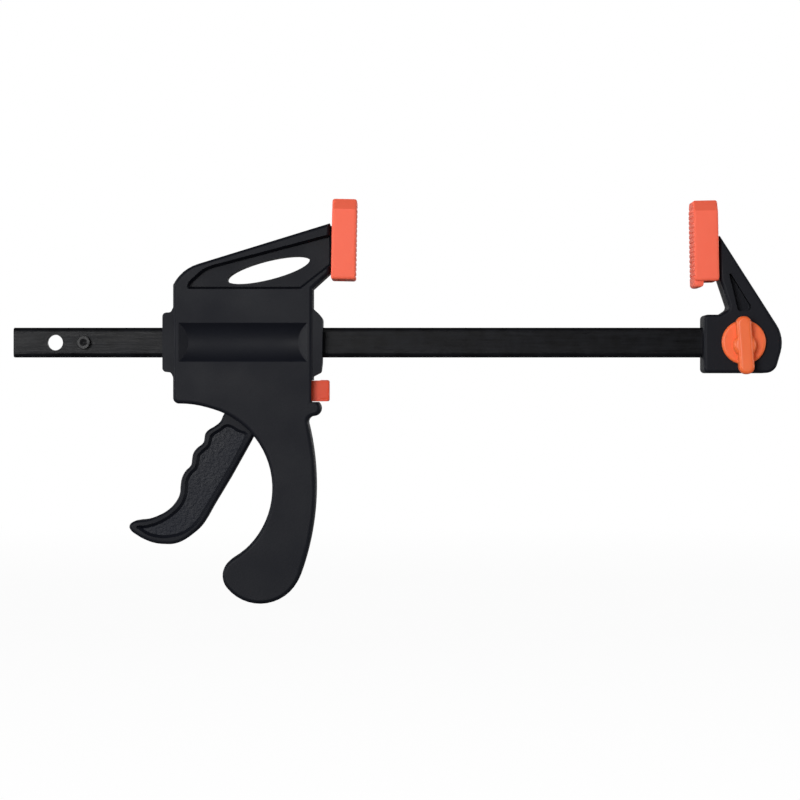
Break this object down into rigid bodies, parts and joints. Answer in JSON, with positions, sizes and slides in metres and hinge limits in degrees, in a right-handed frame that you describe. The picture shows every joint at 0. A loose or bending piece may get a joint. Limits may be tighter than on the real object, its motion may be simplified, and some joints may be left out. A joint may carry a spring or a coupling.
{
  "type": "quick release bar clamp",
  "caption": "One-handed bar clamp: a pistol grip jaw ratchets along a flat steel bar towards a pinned fixed jaw; an orange button releases it.",
  "frame": {"origin": "centre of the tail hole of the bar, at mid thickness", "axes": "+X along the bar towards the fixed jaw, +Y from the knob side to the screw side, +Z from the bar towards the jaw tips"},
  "size_m": [0.206, 0.0216, 0.1083],
  "materials": {
    "black_oxide": "black oxide on cold drawn steel",
    "dark_nylon": "moulded glass-filled nylon, fine grain",
    "orange_soft": "soft moulded pad, satin",
    "orange_nylon": "moulded nylon, satin",
    "zinc_steel": "bright zinc plate",
    "hard_steel": "hardened and tumbled",
    "spring_steel": "drawn wire"
  },
  "bodies": {
    "bar_and_fixed_jaw": {"bar": "black_oxide", "stop_pin": "black_oxide", "fixed_jaw": "dark_nylon", "fixed_jaw_pad": "orange_soft"},
    "knob": {"locking_knob": "orange_nylon", "lock_pin": "zinc_steel"},
    "moving_jaw": {"housing_front": "dark_nylon", "housing_rear": "dark_nylon", "housing_screws": "zinc_steel", "jaw_screw": "zinc_steel", "moving_jaw_pad": "orange_soft", "trigger_pin": "zinc_steel", "drive_spring": "spring_steel", "brake_spring": "spring_steel"},
    "trigger_lever": {"trigger": "dark_nylon"},
    "drive_plates": {"drive_plate_near": "hard_steel", "drive_plate_far": "hard_steel"},
    "brake": {"brake_plate": "hard_steel"},
    "button": {"release_button": "orange_nylon"}
  },
  "joints": [
    {"name": "jaw_slide", "type": "slide", "parent": "bar_and_fixed_jaw", "child": "moving_jaw", "axis": [1, 0, 0], "range_m": [-0.0195, 0.0893]},
    {"name": "trigger_squeeze", "type": "hinge", "parent": "moving_jaw", "child": "trigger_lever", "pos_m": [0.054, 0, -0.0145], "axis": [0, -1, 0], "range_deg": [0, 18], "stiffness_Nm_per_rad": 0.08, "springref_deg": -20.05},
    {"name": "drive_slide", "type": "slide", "parent": "moving_jaw", "child": "drive_plates", "axis": [-1, 0, 0], "range_m": [0, 0.0025], "deforming": ["drive_spring"]},
    {"name": "button_press", "type": "slide", "parent": "moving_jaw", "child": "button", "axis": [-1, 0, 0], "range_m": [0, 0.0016], "stiffness_N_per_m": 200, "springref_m": -0.004},
    {"name": "brake_release", "type": "hinge", "parent": "moving_jaw", "child": "brake", "pos_m": [0.0632, 0, 0.0105], "axis": [0, 1, 0], "range_deg": [0, 3.65], "deforming": ["brake_spring"]},
    {"name": "knob_turn", "type": "hinge", "parent": "bar_and_fixed_jaw", "child": "knob", "pos_m": [0.18445, 0, 0], "axis": [0, -1, 0], "range_deg": [0, 90]}
  ],
  "couplings": [
    {"joint": "drive_slide", "follows": "trigger_squeeze", "m_per_rad": 0.00775},
    {"joint": "brake_release", "follows": "button_press", "rad_per_m": 39.3}
  ]
}
